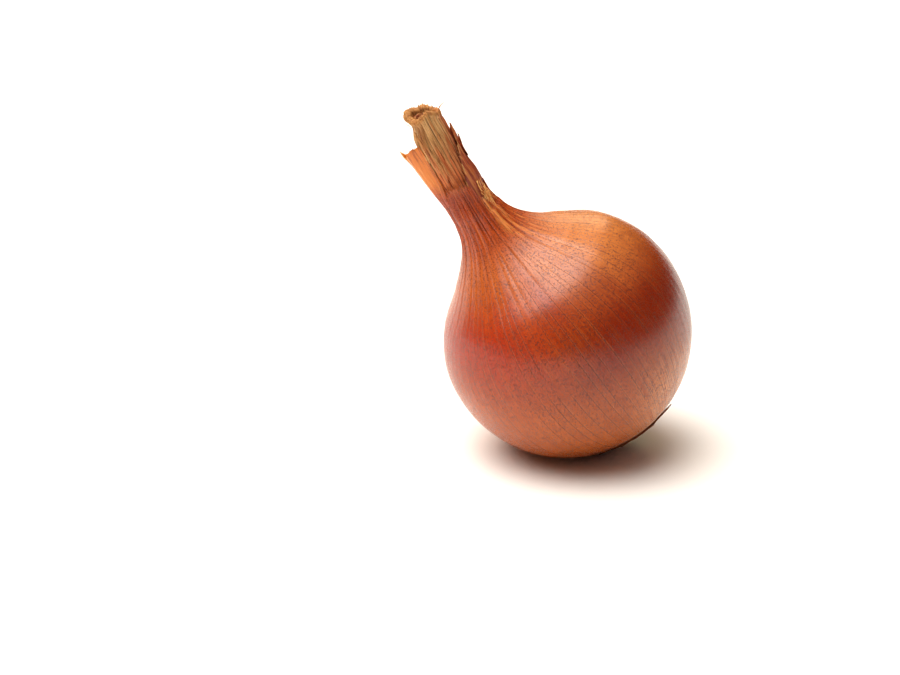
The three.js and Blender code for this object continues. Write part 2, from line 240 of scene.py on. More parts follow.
def ribs(seed, count, low, high):
    """Heights round the neck of rounded ribs of uneven width, with sharp furrows between them."""
    draw = random.Random(seed)
    furrows = [(k + draw.uniform(-0.36, 0.36)) / count for k in range(count)]
    furrows = np.array([furrows[-1] - 1] + furrows + [furrows[0] + 1])
    heights = np.array([draw.uniform(low, high) for _ in furrows])
    turns = np.linspace(0, 1, 7201)
    rib = np.clip(np.searchsorted(furrows, turns) - 1, 0, count)
    across = (turns - furrows[rib]) / (furrows[rib + 1] - furrows[rib])
    profile = heights[rib] * np.sqrt(np.clip(1 - (2 * across - 1) ** 2, 0, 1))
    return lambda degrees: np.interp(np.mod(degrees / 360, 1), turns, profile)


def teeth(seed, count):
    """Heights round the neck of a torn edge, from -1 to 1, as fibres that broke at uneven lengths."""
    draw = random.Random(seed)
    turns = []
    heights = []
    for k in range(count):
        turns += [(k + draw.uniform(0.05, 0.3)) / count, (k + draw.uniform(0.5, 0.8)) / count]
        heights += [draw.uniform(0.1, 1), draw.uniform(-1, -0.2)]
    return lambda degrees: np.interp(np.mod(degrees / 360, 1), turns, heights, period=1)


def lines(seed, count, width, low, high):
    """Heights round the bulb of fine raised veins, each a few tenths of a millimetre wide."""
    draw = random.Random(seed)
    turns = np.linspace(0, 1, 7201)
    profile = np.zeros_like(turns)
    for k in range(count):
        middle = (k + draw.uniform(-0.3, 0.3)) / count
        away = np.abs(np.mod(turns - middle + 0.5, 1) - 0.5)
        profile += draw.uniform(low, high) * np.exp(-((away * 360 / width) ** 2))
    return lambda degrees: np.interp(np.mod(degrees / 360, 1), turns, profile)


# Modelling


def deselect_all():
    for other in list(bpy.context.selected_objects):
        other.select_set(False)


def only(piece):
    deselect_all()
    piece.select_set(True)
    bpy.context.view_layer.objects.active = piece


def flat_sheet(name, across_steps, along_steps):
    """A flat square of faces, to be wrapped round the growth line."""
    deselect_all()
    bpy.ops.mesh.primitive_grid_add(x_subdivisions=across_steps, y_subdivisions=along_steps, size=1)
    sheet = bpy.context.object
    sheet.name = name
    sheet.data.name = name
    return sheet


def wrap(sheet, surface):
    """Moves each point of a flat sheet to the place, degrees and radius that surface(across, along) gives.

    The last value it gives is how torn or dry the surface is there. The UV map gets the turns round the line
    and the place in tenths of a metre.
    """
    mesh = sheet.data
    flat = np.empty(len(mesh.vertices) * 3)
    mesh.vertices.foreach_get("co", flat)
    flat = flat.reshape(-1, 3) + 0.5
    places, degrees, radii, torn = np.broadcast_arrays(*surface(flat[:, 0], flat[:, 1]))
    spots = spots_at(places, degrees, radii)
    spots[:, 2] = np.maximum(spots[:, 2], 0)
    mesh.vertices.foreach_set("co", (spots * MM).ravel())
    corners = np.empty(len(mesh.loops), int)
    mesh.loops.foreach_get("vertex_index", corners)
    uv = np.stack([degrees[corners] / 360, places[corners] / 100], -1)
    mesh.uv_layers.active.data.foreach_set("uv", uv.ravel())
    attribute = mesh.attributes.new("torn", "FLOAT", "POINT")
    attribute.data.foreach_set("value", np.ascontiguousarray(torn, float))
    mesh.update()
    return sheet


def close(piece):
    """Joins a wrapped sheet's two sides and its poles, and turns its faces outwards."""
    only(piece)
    bpy.ops.object.mode_set(mode="EDIT")
    bpy.ops.mesh.select_all(action="SELECT")
    bpy.ops.mesh.remove_doubles(threshold=MERGE_DISTANCE * MM)
    bpy.ops.mesh.normals_make_consistent(inside=False)
    bpy.ops.object.mode_set(mode="OBJECT")
    bpy.ops.object.shade_smooth()
    return piece


def thicken(piece, thickness):
    """Gives a wrapped sheet a thickness, half to each side."""
    only(piece)
    wall = piece.modifiers.new("wall", "SOLIDIFY")
    wall.thickness = thickness * MM
    wall.offset = 0
    wall.use_even_offset = False
    bpy.ops.object.modifier_apply(modifier=wall.name)
    return close(piece)


def finish_piece(piece, finish, slot, *nodes):
    piece.data.materials.clear()
    piece.data.materials.append(finish.material)
    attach(piece, "root")
    if nodes:
        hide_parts(*nodes)


# The bulb's skin, with its collar round the neck

OUTLINE = smooth_outline(SKIN_OUTLINE)
OUTLINE_REACH = np.concatenate([[0], np.cumsum(np.linalg.norm(np.diff(OUTLINE, axis=0), axis=1))])
OUTLINE_REACH /= OUTLINE_REACH[-1]
broad_lobes = ribs(3, 9, 0.0, 0.22)
skin_veins = lines(11, 66, 0.9, 0.01, 0.07)
pleats = ribs(23, 34, 0.35, 0.95)
fine_pleats = ribs(29, 92, 0.06, 0.2)
collar_teeth = teeth(31, 104)
tongue_teeth = teeth(37, 150)


def skin_radius(place, degrees, radius):
    angle = np.radians(degrees)
    belly = ease(place, -34, -14) * (1 - ease(place, 22, 40))
    lobes = 0.008 * np.sin(2 * angle + 0.4) + 0.006 * np.sin(3 * angle + 1.9)
    shoulder = SHOULDER_FULLNESS * np.cos(angle) * ease(place, 12, 33) * (1 - ease(place, 36, 50))
    wander = degrees + 1.2 * np.sin(place / 11) + 0.6 * np.sin(place / 4.3 + angle * 3)
    veins = skin_veins(wander) * ease(place, -37, -30) * (1 - ease(place, 36, 46))
    depth = 0.35 * ease(place, 20, 32) + 0.65 * ease(place, 32, 48)
    folds = (pleats(wander) - 0.6) * depth + (fine_pleats(wander) - 0.12) * ease(place, 24, 44)
    slack = 0.5 * (broad_lobes(degrees) - 0.1) * belly
    return radius * (1 + lobes * belly) + shoulder + veins + folds + slack


def tongue_share(degrees):
    """1 on the tongue and 0 beside it."""
    return np.clip((TONGUE_HALF_WIDTH - apart(degrees, TONGUE_ANGLE)) / TONGUE_SLOPE, 0, 1)


def low_share(degrees):
    """Where the collar is torn low and leaves the sheath free: 1 at the right front, 0 elsewhere."""
    return 1 - ease(apart(degrees, COLLAR_LOW_ANGLE), 28, 66)


def collar_edge(degrees):
    angle = np.radians(degrees)
    tongue = tongue_share(degrees)
    low = low_share(degrees)
    waves = 0.7 * np.sin(3 * angle + 1) + 0.5 * np.sin(8 * angle)
    ragged = waves + mix(2.8, 1.2, low) * collar_teeth(degrees)
    tip = TIP_RISE * ease(apart(degrees, TIP_ANGLE), 9, 0)
    front = 2.2 * ease(np.mod(degrees, 360), 176, 196) - 1.6 * ease(np.mod(degrees, 360), 162, 146)
    top = TONGUE_TOP + 0.5 * tongue_teeth(degrees) - 0.6 + tip + front
    return mix(mix(COLLAR_EDGE, COLLAR_LOW_EDGE, low) + ragged, top, tongue)


def collar_radius(place, degrees, edge):
    """The collar's radius: its torn edge closes on the stalk or the sheath, and its tongue peels away."""
    narrowing = mix(7.6, COLLAR_RADIUS, ease(place, COLLAR_START, COLLAR_START + 6))
    fullness = COLLAR_LEFT_FULLNESS * ease(place, COLLAR_START, COLLAR_START + 4)
    loose = narrowing - fullness * np.cos(np.radians(degrees))
    side = 1 - ease(apart(degrees, PEEL_ANGLE), 10, 48)
    lifted = np.maximum(0, place - PEEL_START) / (TONGUE_TOP - PEEL_START)
    tongue = np.clip((50 - apart(degrees, TONGUE_ANGLE)) / 12, 0, 1)
    held = mix(6.15, 6.62, 1 - ease(apart(degrees, 352), 40, 75))
    closed = mix(loose, held, ease(edge - place, 11, 0.5) * (1 - tongue))
    hem = 1.25 * ease(apart(degrees, PEEL_ANGLE), 18, 46) * ease(place, 57, 64) * tongue
    return closed - hem + TONGUE_PEEL * side * lifted**0.8


def skin_surface(across, along):
    """The root seat, the bulb, the collar's outside, its inside and the socket's floor, in that order."""
    degrees = 90 + across * 360
    edge = collar_edge(degrees)
    seat = stretch(along, 0, 0.02)
    reach = stretch(along, 0.02, 0.76)
    out = stretch(along, 0.76, 0.90)
    back = stretch(along, 0.90, 0.99)
    floor = stretch(along, 0.99, 1)
    place = np.interp(reach, OUTLINE_REACH, OUTLINE[:, 1])
    radius = skin_radius(place, degrees, np.interp(reach, OUTLINE_REACH, OUTLINE[:, 0]))
    place = np.where(reach <= 0, ROOT_SEAT_PLACE, place)
    radius = np.where(reach <= 0, ROOT_SEAT_RADIUS * seat, radius)
    height = np.where(back > 0, mix(edge, COLLAR_START, back), mix(COLLAR_START, edge, out))
    wander = degrees + 1.2 * np.sin(height / 11) + 0.6 * np.sin(height / 4.3 + np.radians(degrees) * 3)
    relief = (pleats(wander) - 0.6) * mix(1, 0.45, ease(height, 50, 60)) + fine_pleats(wander) - 0.12
    outer = collar_radius(height, degrees, edge) + relief * mix(0.8, 0.45, ease(edge - height, 4, 0))
    wall = mix(THINNEST_EDGE, COLLAR_WALL, ease(edge - height, 0, 5))
    outer = outer + 0.9 * ease(edge - height, 4, 0) * ease(apart(degrees, TIP_ANGLE), 14, 2)
    inner = np.maximum(mix(outer - wall, SOCKET_RADIUS, ease(edge - height, 6, 10)), 5.62)
    place = np.where(out > 0, height, place)
    radius = np.where(out > 0, np.maximum(outer, 5.8), radius)
    radius = np.where(back > 0, inner, radius)
    place = np.where(floor > 0, SOCKET_FLOOR, place)
    radius = np.where(floor > 0, SOCKET_RADIUS * (1 - floor), radius)
    knot = 0.7 * ease(apart(degrees, KNOT_ANGLE), 24, 10)
    corner = ease(apart(degrees, TIP_ANGLE), 14, 5)
    frayed = mix(0.12, 1, np.maximum(corner, knot))
    torn = np.where(out > 0, frayed * (1 - ease(edge - place, 0, 2.4)), 0)
    return place, degrees, radius, torn


def make_bulb_skin():
    return close(wrap(flat_sheet("bulb_skin", 352, 250), skin_surface))


# The stalk: dried leaf bases with a hollow, torn end

STALK_CURVE = smooth_outline(STALK_OUTLINE)
stalk_ribs = ribs(41, 22, 0.2, 0.62)
stalk_fibres = ribs(43, 84, 0.05, 0.2)
stalk_threads = ribs(47, 170, 0.0, 0.07)
rim_teeth = teeth(53, 46)
rim_fibres = teeth(59, 128)


def stalk_radius(place, degrees):
    """The stalk's radius without its fibres: fuller at the front left, where no sheath lies on it."""
    radius = np.interp(place, STALK_CURVE[:, 1], STALK_CURVE[:, 0])
    full = 1 - ease(apart(degrees, STALK_FULL_ANGLE), 35, 60)
    from_waist = (place - STALK_WAIST_PLACE) / 2.2
    waist = ease(apart(degrees, STALK_WAIST_ANGLE), 90, 20) * np.exp(-(from_waist**2))
    return radius + STALK_FULLNESS * full * (1 - ease(place, 75, 81)) - STALK_WAIST * waist


def stalk_relief(place, degrees):
    wander = degrees + 3 * np.sin(place / 6.5 + 1) + 1.2 * np.sin(place / 2.9)
    deep = 0
    for furrow in FURROWS:
        deep = deep + 0.75 * np.exp(-((apart(wander, furrow * 360) / 2.6) ** 2))
    uneven = 0.05 * np.sin(place * 1.7 + np.radians(degrees) * 9)
    strength = mix(0.5, 1, ease(place, 52, 62))
    relief = stalk_ribs(wander) + stalk_fibres(wander) + stalk_threads(wander) - 0.5 - deep
    return relief * strength + uneven


def rim_place(degrees):
    angle = np.radians(degrees)
    rim = np.interp(degrees % 360, *zip(*RIM_PLACES), period=360)
    return rim + 0.25 * np.sin(5 * angle + 2) + 0.4 * rim_teeth(degrees) + 0.25 * rim_fibres(degrees)


def lip_share(degrees):
    """Where the rim is rolled over into a thick crumbly lip: at the left and the back."""
    return 0.35 + 0.65 * ease(apart(degrees, LIP_ANGLE), 120, 60)


def crumbs(place, degrees):
    """Small lumps on the rim's lip, from about -1 to 1."""
    angle = np.radians(degrees)
    first = np.sin(angle * 23 + place * 3.1) * np.sin(place * 4.7 + angle * 11)
    second = np.sin(angle * 41 - place * 6.3 + 1) * np.sin(place * 9.1 + angle * 29)
    return 0.6 * first + 0.4 * second


def stalk_surface(across, along):
    """The stalk's foot, ribbed outside, rolled rim, the hollow's wall and its floor, in that order."""
    base = 90 + across * 360
    rim = rim_place(base)
    foot = stretch(along, 0, 0.02)
    out = stretch(along, 0.02, 0.70)
    over = stretch(along, 0.70, 0.80)
    down = stretch(along, 0.80, 0.98)
    floor = stretch(along, 0.98, 1)
    place = mix(STALK_FOOT, rim - 1, out)
    twist = STALK_TWIST * stretch(place, STALK_FOOT, STALK_TOP)
    degrees = base - STALK_TWIST + twist
    lip = lip_share(degrees)
    thick = mix(0.55, 1.1, lip)
    flare = 0.45 * lip * ease(place, rim - 3.2, rim - 1) + 0.25 * ease(place, rim - 2.5, rim - 1)
    outer = stalk_radius(place, degrees) + flare
    ribbed = outer + stalk_relief(place, base) * mix(1, 0.45, ease(place, rim - 3, rim - 1))
    turn = over * math.pi
    rounded = ribbed - thick * (1 - np.cos(turn)) + 0.25 * np.sin(turn) * lip
    crumbly = 0.28 * crumbs(place + over * 3, base) * np.sin(np.minimum(turn, math.pi)) * lip
    inner = ribbed - 2 * thick
    hollow_place = mix(rim - 1, HOLLOW_FLOOR, down)
    hollow = stalk_radius(hollow_place, degrees) - STALK_WALL + 0.35 * stalk_relief(hollow_place, base + 11)
    inside = mix(inner, hollow, ease(down, 0, 0.35))
    radius = np.where(over > 0, rounded + crumbly, ribbed * foot)
    radius = np.where(down > 0, inside, radius)
    radius = np.where(floor > 0, hollow * (1 - floor), radius)
    place = np.where(over > 0, rim - 1 + np.sin(turn) * mix(0.8, 1.0, lip) + crumbly, place)
    place = np.where(down > 0, hollow_place, place)
    place = np.where(floor > 0, HOLLOW_FLOOR - 0.8 * floor, place)
    pale = ease(place, rim - 2.6, rim - 0.6)
    torn = np.where(down > 0, pale * ease(down, 0.25, 0), pale)
    return place, degrees, radius, torn + 2 * ease(down, 0.02, 0.2)


def make_stalk():
    return close(wrap(flat_sheet("neck_stalk_fibres", 288, 170), stalk_surface))


def rolled_leaf(name, start, turns, outer, inner, lower, seed):
    """One of the innermost leaves, rolled like a scroll in the hollow end from outer to inner radius."""
    ragged = teeth(seed, 60)

    def surface(across, along):
        degrees = start + across * turns * 360
        top = STALK_TOP - lower + 0.6 * ragged(across * 360) + 0.5 * np.sin(across * 17)
        top = top - np.cos(np.radians(degrees))
        place = mix(HOLLOW_FLOOR - 0.6, top, along)
        radius = mix(outer, inner, across) + 0.06 * np.sin(across * 90) + 0.12 * along * np.sin(across * 30)
        return place, degrees, radius, ease(along, 0.75, 1)

    return thicken(wrap(flat_sheet(name, 140, 26), surface), ROLLED_LEAF_THICKNESS)


# The sheath: a dry brown leaf round the right and the back of the neck

SHEATH_CURVE = smooth_outline(SHEATH_OUTLINE)
sheath_ribs = ribs(61, 40, 0.05, 0.3)
sheath_fibres = ribs(67, 120, 0.0, 0.1)
sheath_teeth = teeth(71, 110)


def sheath_edge(across, degrees):
    shoulders = ease(degrees, SHEATH_FROM, -42) * (1 - ease(degrees, 80, SHEATH_TO))
    edge = mix(SHEATH_LOW_EDGE, SHEATH_EDGE, shoulders) + 0.6 * np.sin(across * 23 + 1)
    for middle, half_width, rise in SHEATH_POINTS:
        edge = edge + rise * np.maximum(0, 1 - apart(degrees, middle) / half_width)
    return edge + 1.1 * sheath_teeth(degrees) - 0.4


def sheath_surface(across, along):
    degrees = mix(SHEATH_FROM, SHEATH_TO, across)
    edge = sheath_edge(across, degrees)
    place = mix(SHEATH_FOOT, edge, along)
    free = low_share(degrees) * ease(place, 55.5, 58) * (1 - ease(place, 61, 65))
    outer = np.interp(place, SHEATH_CURVE[:, 1], SHEATH_CURVE[:, 0]) + SHEATH_BULGE * free
    hem = 0.5 * ease(across, 0.12, 0) * ease(place, 56, 60)
    relief = (sheath_ribs(degrees) + sheath_fibres(degrees) - 0.2) * ease(place, 50, 56)
    flutter = 0.2 * np.sin(across * 70) * ease(place, 66, 70)
    return place, degrees, outer - hem - 0.15 + relief + flutter, 1 - ease(edge - place, 0, 2.5)


def make_sheath():
    return thicken(wrap(flat_sheet("neck_sheath_leaf", 220, 90), sheath_surface), SHEATH_THICKNESS)


# Loose straw on the neck


def straw(name, start, degrees, reach, turn, width, height, lift, seed, tilt=0):
    """A thin broken fibre that lies on the neck from start, with its end lifted and one side tilted."""
    draw = random.Random(seed)
    phase = draw.uniform(0, 6)

    def surface(across, along):
        place = start + reach * along
        middle = degrees + turn * along + 1.5 * np.sin(along * 5 + phase)
        half_width = width * (1 - 0.75 * ease(along, 0.55, 1)) * ease(along, -0.15, 0.15)
        radius = height + lift * ease(along, 0.35, 1) ** 2 + 0.05 * np.sin(along * 9 + phase)
        side = (across * 2 - 1) * half_width
        turned = np.degrees(side / np.maximum(radius, 1))
        return place, middle + turned, radius + tilt * side, 0.3 + 0.6 * along

    return thicken(wrap(flat_sheet(name, 3, 22), surface), STRAW_THICKNESS)


def joined(name, pieces):
    only(pieces[0])
    for piece in pieces[1:]:
        piece.select_set(True)
    bpy.ops.object.join()
    pieces[0].name = name
    pieces[0].data.name = name
    return pieces[0]


def make_neck_straws():
    """Broken fibres lying along the front of the stalk."""
    draw = random.Random(5)
    made = []
    for n in range(STRAW_COUNT):
        degrees = draw.uniform(202, 292)
        start = draw.uniform(61, 72)
        reach = draw.uniform(5, min(12, 82 - start))
        height = stalk_radius(np.array([start]), np.array([degrees]))[0] + 0.28
        lift = draw.uniform(-0.1, 0.2)
        width = draw.uniform(0.12, 0.3)
        turn = draw.uniform(-6, 6)
        made.append(straw(f"straw_{n}", start, degrees, reach, turn, width, height, lift, n))
    return joined("neck_straws", made)


def fray(name, degrees, start, reach, fan, width, lift):
    """A frayed fibre of the collar's edge, lying down over the neck's foot."""

    def surface(across, along):
        place = start + reach * along
        middle = degrees + fan * along + 2 * np.sin(along * 4 + start)
        radius = mix(6.95, 7.6, ease(place, 54, 49)) + lift * (0.3 + ease(along, 0.5, 0)) - 0.2 * along
        half_width = width * (1 - 0.7 * along)
        side = (across * 2 - 1) * half_width / radius
        return place, middle + np.degrees(side), radius, 0.7 + 0.3 * along

    return thicken(wrap(flat_sheet(name, 3, 16), surface), FRAY_THICKNESS)


def make_collar_frays():
    """The knot of pale frayed fibres at the right front, where the skin's torn edge meets the sheath."""
    draw = random.Random(9)
    made = []
    for n in range(FRAY_COUNT):
        degrees = FRAY_ANGLE + draw.uniform(-14, 14)
        start = 57.2 + draw.uniform(-3.5, 2)
        reach = -draw.uniform(1.8, 6.5)
        fan = draw.uniform(-14, 24)
        width = draw.uniform(0.06, 0.16)
        lift = draw.uniform(0, 0.5)
        made.append(fray(f"fray_{n}", degrees, start, reach, fan, width, lift))
    return joined("collar_frays", made)


def make_shards():
    """Split points of the sheath that stand off the stalk at the right."""
    made = [
        straw("shard_upper", 69.5, 342, 8.2, -4, 1.25, 5.6, 0.75, 3, -0.9),
        straw("shard_lower", 66.0, 346, 7.2, 3, 1.1, 5.9, 0.7, 4, -0.6),
        straw("shard_front", 63.0, 318, 8.5, 6, 0.7, 6.0, 0.15, 5, 0.3),
    ]
    return joined("sheath_shards", made)


def make_rim_threads():
    """Short threads all round the torn rim, and a few longer splinters that bend away from it."""
    draw = random.Random(15)
    made = []
    for n in range(THREAD_COUNT):
        degrees = draw.uniform(0, 360)
        rim = float(rim_place(np.array([degrees]))[0])
        start = rim - draw.uniform(1.2, 2.4)
        reach = draw.uniform(1.4, 2.6)
        height = stalk_radius(np.array([rim]), np.array([degrees]))[0] + draw.uniform(-0.5, 0.25)
        lift = draw.uniform(-0.3, 0.4)
        turn = draw.uniform(-25, 25)
        made.append(straw(f"thread_{n}", start, degrees, reach, turn, 0.14, height, lift, n))
    for n, (degrees, reach, lift) in enumerate(SPLINTERS):
        made.append(straw(f"splinter_{n}", SPLINTER_START, degrees, reach, 8, 0.24, 4.9, lift, n))
    return joined("rim_threads", made)


# The root end

pad_bumps = ribs(83, 30, 0, 0.3)


def pad_surface(across, along):
    degrees = 90 + across * 360
    top = ROOT_SEAT_PLACE - GAP
    face = stretch(along, 0, 0.75)
    side = stretch(along, 0.75, 0.9)
    under = stretch(along, 0.9, 1)
    rim = PAD_RADIUS - 0.2 + 0.25 * np.sin(np.radians(degrees) * 5 + 1) + 0.3 * (pad_bumps(degrees) - 0.15)
    dome = PAD_THICKNESS + 0.4 - 0.9 * face**3
    bumps = 0.12 * np.sin(degrees / 9 + 7 * face) * np.sin(face * 21 + degrees / 23)
    place = top - mix(dome + bumps, 0, ease(side, 0, 1))
    radius = rim * mix(0.96 * face, 1, np.sin(side * math.pi) * 0.4 + side * 0.6) * (1 - under)
    return place, degrees, radius, face


def make_root_pad():
    """The corky plate, with the cut ends of its roots standing out of it."""
    made = [close(wrap(flat_sheet("pad", 120, 60), pad_surface))]
    draw = random.Random(7)
    for n in range(STUB_COUNT):
        spread = math.sqrt((n + 0.5) / STUB_COUNT)
        degrees = n * GOLDEN_ANGLE + draw.uniform(0, 14)
        from_middle = spread * (PAD_RADIUS - 0.8)
        length = STUB_LENGTH * draw.uniform(0.5, 1.05) * mix(1, 0.7, spread)
        thickness = draw.uniform(0.28, 0.62)
        curl = draw.uniform(-0.5, 0.5)
        foot = ROOT_SEAT_PLACE - GAP - PAD_THICKNESS + 0.8
        middle = spots_at(np.array([foot]), np.array([degrees]), np.array([from_middle]))[0]
        end_place = foot - 0.8 - length
        end = spots_at(np.array([end_place]), np.array([degrees]), np.array([from_middle + 0.9 * spread]))[0]
        made.append(root_stub(f"stub_{n}", middle, end, thickness, curl))
    return joined("root_pad_cork", made)


def root_stub(name, foot, end, thickness, curl):
    """A cut root: a tapered rod of eight sides, swollen and dented at its cut end."""
    deselect_all()
    bpy.ops.mesh.primitive_circle_add(vertices=8, radius=thickness * MM, fill_type="NGON")
    stub = bpy.context.object
    stub.name = name
    direction = Vector(end - foot)
    length = direction.length
    bpy.ops.object.mode_set(mode="EDIT")
    bpy.ops.mesh.select_all(action="SELECT")
    for step, (share, grow) in enumerate(((0.35, 0.86), (0.35, 0.9), (0.3, 1.12))):
        move = (curl * 0.12 * step * MM, 0, length * share * MM)
        bpy.ops.mesh.extrude_region_move(TRANSFORM_OT_translate={"value": move})
        bpy.ops.transform.resize(value=(grow, grow, 1))
    bpy.ops.mesh.inset(thickness=thickness * 0.3 * MM, depth=-0.12 * MM)
    bpy.ops.mesh.select_all(action="SELECT")
    bpy.ops.mesh.normals_make_consistent(inside=False)
    bpy.ops.object.mode_set(mode="OBJECT")
    turn = direction.to_track_quat("Z", "Y").to_matrix().to_4x4()
    turn.translation = Vector(foot) * MM
    stub.data.transform(turn)
    bpy.ops.object.shade_smooth()
    attribute = stub.data.attributes.new("torn", "FLOAT", "POINT")
    attribute.data.foreach_set("value", np.full(len(stub.data.vertices), 0.5))
    return stub


def make_scrap(name, middle, half_width, reach, side_reach, phase):
    """A scrap of older skin, held at the root plate's edge and lifted off the bulb at its torn end."""
    ragged_teeth = teeth(int(phase * 10) + 90, 40)

    def surface(across, along):
        side = across * 2 - 1
        degrees = middle + side * half_width
        ragged = 0.16 * np.sin(across * 19 + phase) + 0.1 * np.sin(across * 43 + phase)
        ragged = ragged + 0.05 * ragged_teeth(across * 360)
        from_pole = np.radians(SCRAP_FOOT + along * reach * (1 + side_reach * side * side + ragged))
        lift = along * along * SCRAP_LIFT + 0.1 * np.sin(across * 25 + phase) * along
        distance = BULB_RADIUS + GAP + lift
        torn = np.maximum(ease(along, 0.6, 1), ease(np.abs(side), 0.85, 1))
        return -distance * np.cos(from_pole), degrees, distance * np.sin(from_pole), torn

    return thicken(wrap(flat_sheet(name + "_skin", 90, 34), surface), SCRAP_THICKNESS)


# Materials


class Wire:
    """A number or a colour in a material that changes over the surface."""

    def __init__(self, finish, socket):
        self.finish = finish
        self.socket = socket

    def __add__(self, other):
        return self.finish.sum_up("ADD", self, other)

    def __sub__(self, other):
        return self.finish.sum_up("SUBTRACT", self, other)

    def __rsub__(self, other):
        return self.finish.sum_up("SUBTRACT", other, self)

    def __mul__(self, other):
        return self.finish.sum_up("MULTIPLY", self, other)

    def __truediv__(self, other):
        return self.finish.sum_up("DIVIDE", self, other)

    __radd__ = __add__
    __rmul__ = __mul__


class Finish:
    """A material around one Principled shader."""

    def __init__(self, name):
        self.material = bpy.data.materials.new(name)
        self.material.use_nodes = True
        self.tree = self.material.node_tree
        self.shader = self.tree.nodes["Principled BSDF"]

    def node(self, kind, settings, inputs, output=0):
        """Adds a node, sets what settings says first and then its sockets, and gives back one output."""
        made = self.tree.nodes.new(kind)
        for key, value in settings.items():
            setattr(made, key, value)
        for key, value in inputs.items():
            if isinstance(value, Wire):
                self.tree.links.new(value.socket, made.inputs[key])
            else:
                made.inputs[key].default_value = value
        return Wire(self, made.outputs[output])

    def sum_up(self, operation, first, second):
        return self.node("ShaderNodeMath", {"operation": operation}, {0: first, 1: second})

    def rise(self, value, start, end):
        """0 below start and 1 above end, or the other way round where start is the higher."""
        settings = {"interpolation_type": "SMOOTHSTEP"}
        inputs = {"Value": value, "From Min": start, "From Max": end}
        return self.node("ShaderNodeMapRange", settings, inputs)

    def blend(self, share, low, high):
        return self.node("ShaderNodeMix", {"data_type": "RGBA"}, {0: share, 6: low, 7: high}, 2)

    def join(self, x, y, z=0.0):
        return self.node("ShaderNodeCombineXYZ", {}, {0: x, 1: y, 2: z})

    def noise(self, vector, scale, detail=2.0, roughness=0.5):
        inputs = {"Vector": vector, "Scale": scale, "Detail": detail, "Roughness": roughness}
        return self.node("ShaderNodeTexNoise", {}, inputs)

    def coordinates(self):
        """Object coordinates, and the turns and the place from the UV map."""
        spot = self.node("ShaderNodeTexCoord", {}, {}, "Object")
        uv = self.node("ShaderNodeUVMap", {"uv_map": "UVMap"}, {})
        turns = self.node("ShaderNodeSeparateXYZ", {}, {0: uv}, 0)
        place = self.node("ShaderNodeSeparateXYZ", {}, {0: uv}, 1) * 100
        return spot, turns, place

    def attribute(self, name):
        return self.node("ShaderNodeAttribute", {"attribute_name": name}, {}, "Fac")

    def bump(self, height, strength, distance):
        inputs = {"Height": height, "Strength": strength, "Distance": distance}
        return self.node("ShaderNodeBump", {}, inputs)

    def dress(self, **values):
        """Sets the shader's sockets, named with underscores for spaces."""
        for key, value in values.items():
            socket = self.shader.inputs[key.replace("_", " ")]
            if isinstance(value, Wire):
                self.tree.links.new(value.socket, socket)
            else:
                socket.default_value = value
        return self


def cells_between(finish, position, count):
    """Distance from the nearest of count uneven lines, in widths of the space between two."""
    settings = {"feature": "DISTANCE_TO_EDGE", "voronoi_dimensions": "1D"}
    inputs = {"W": position, "Scale": float(count), "Randomness": 0.9}
    return finish.node("ShaderNodeTexVoronoi", settings, inputs, "Distance")


def cosine_towards(finish, turns, degrees):
    """1 where a direction round the growth line is faced, 0 at right angles to it."""
    angle = (turns - degrees / 360) * (2 * math.pi)
    return finish.node("ShaderNodeMath", {"operation": "COSINE"}, {0: angle})


def skin_tints(skin, spot, place, broad, streak, neck):
    """The skin's broad colours: orange at the left, partly painted light from the left; a band of painted
    shade; golden above, partly painted light on the top; paler towards the bottom; pale at the low right,
    partly a painted reflection of the floor.
    """
    x, y, z = [skin.node("ShaderNodeSeparateXYZ", {}, {0: spot}, axis) / MM for axis in range(3)]
    # Paler towards the bottom
    root = skin.rise(z, 42, 14)
    # Golden tint on the shoulder: partly the skin's own colour, partly painted light on the top and back,
    # reaching down round the highlight
    gold_and_top_light = skin.rise(z + y * 0.5 + (broad - 0.5) * 24, 30, 72)
    gold_and_top_light = gold_and_top_light * skin.rise(place, 6, 24) * skin.rise(place, 50, 32)
    # Redder orange on the left: the skin's own tint, brightened as painted light from the left
    orange_and_left_light = skin.rise(x, 2, -30) * (1 - neck)
    # Painted shade: a darker red-brown band across the right flank, where the skin turns away from the light
    down_right = x * 0.56 - y * 0.37 - (z - REST_HEIGHT) * 0.74
    painted_shade_band = skin.rise(down_right, -4, 6) * skin.rise(down_right, 22, 13) * skin.rise(x, -14, 8)
    # Pale streaks at the low right: paler dry skin, and a painted reflection of the white floor
    pale_and_floor_reflection = skin.rise(x, 8, 32) * skin.rise(z, 46, 26) * skin.rise(streak, 0.32, 0.58)
    color = skin.blend(broad, tone(138, 48, 10), tone(156, 62, 16))
    color = skin.blend(orange_and_left_light * 0.85, color, tone(160, 34, 0))
    color = skin.blend(painted_shade_band * 0.85, color, tone(124, 28, 4))
    color = skin.blend(gold_and_top_light * 0.85, color, tone(208, 124, 54))
    color = skin.blend(root * 0.8, color, tone(184, 94, 34))
    color = skin.blend(pale_and_floor_reflection * 0.8, color, tone(236, 166, 112))
    return skin.blend(neck * 0.75, color, tone(184, 64, 8))


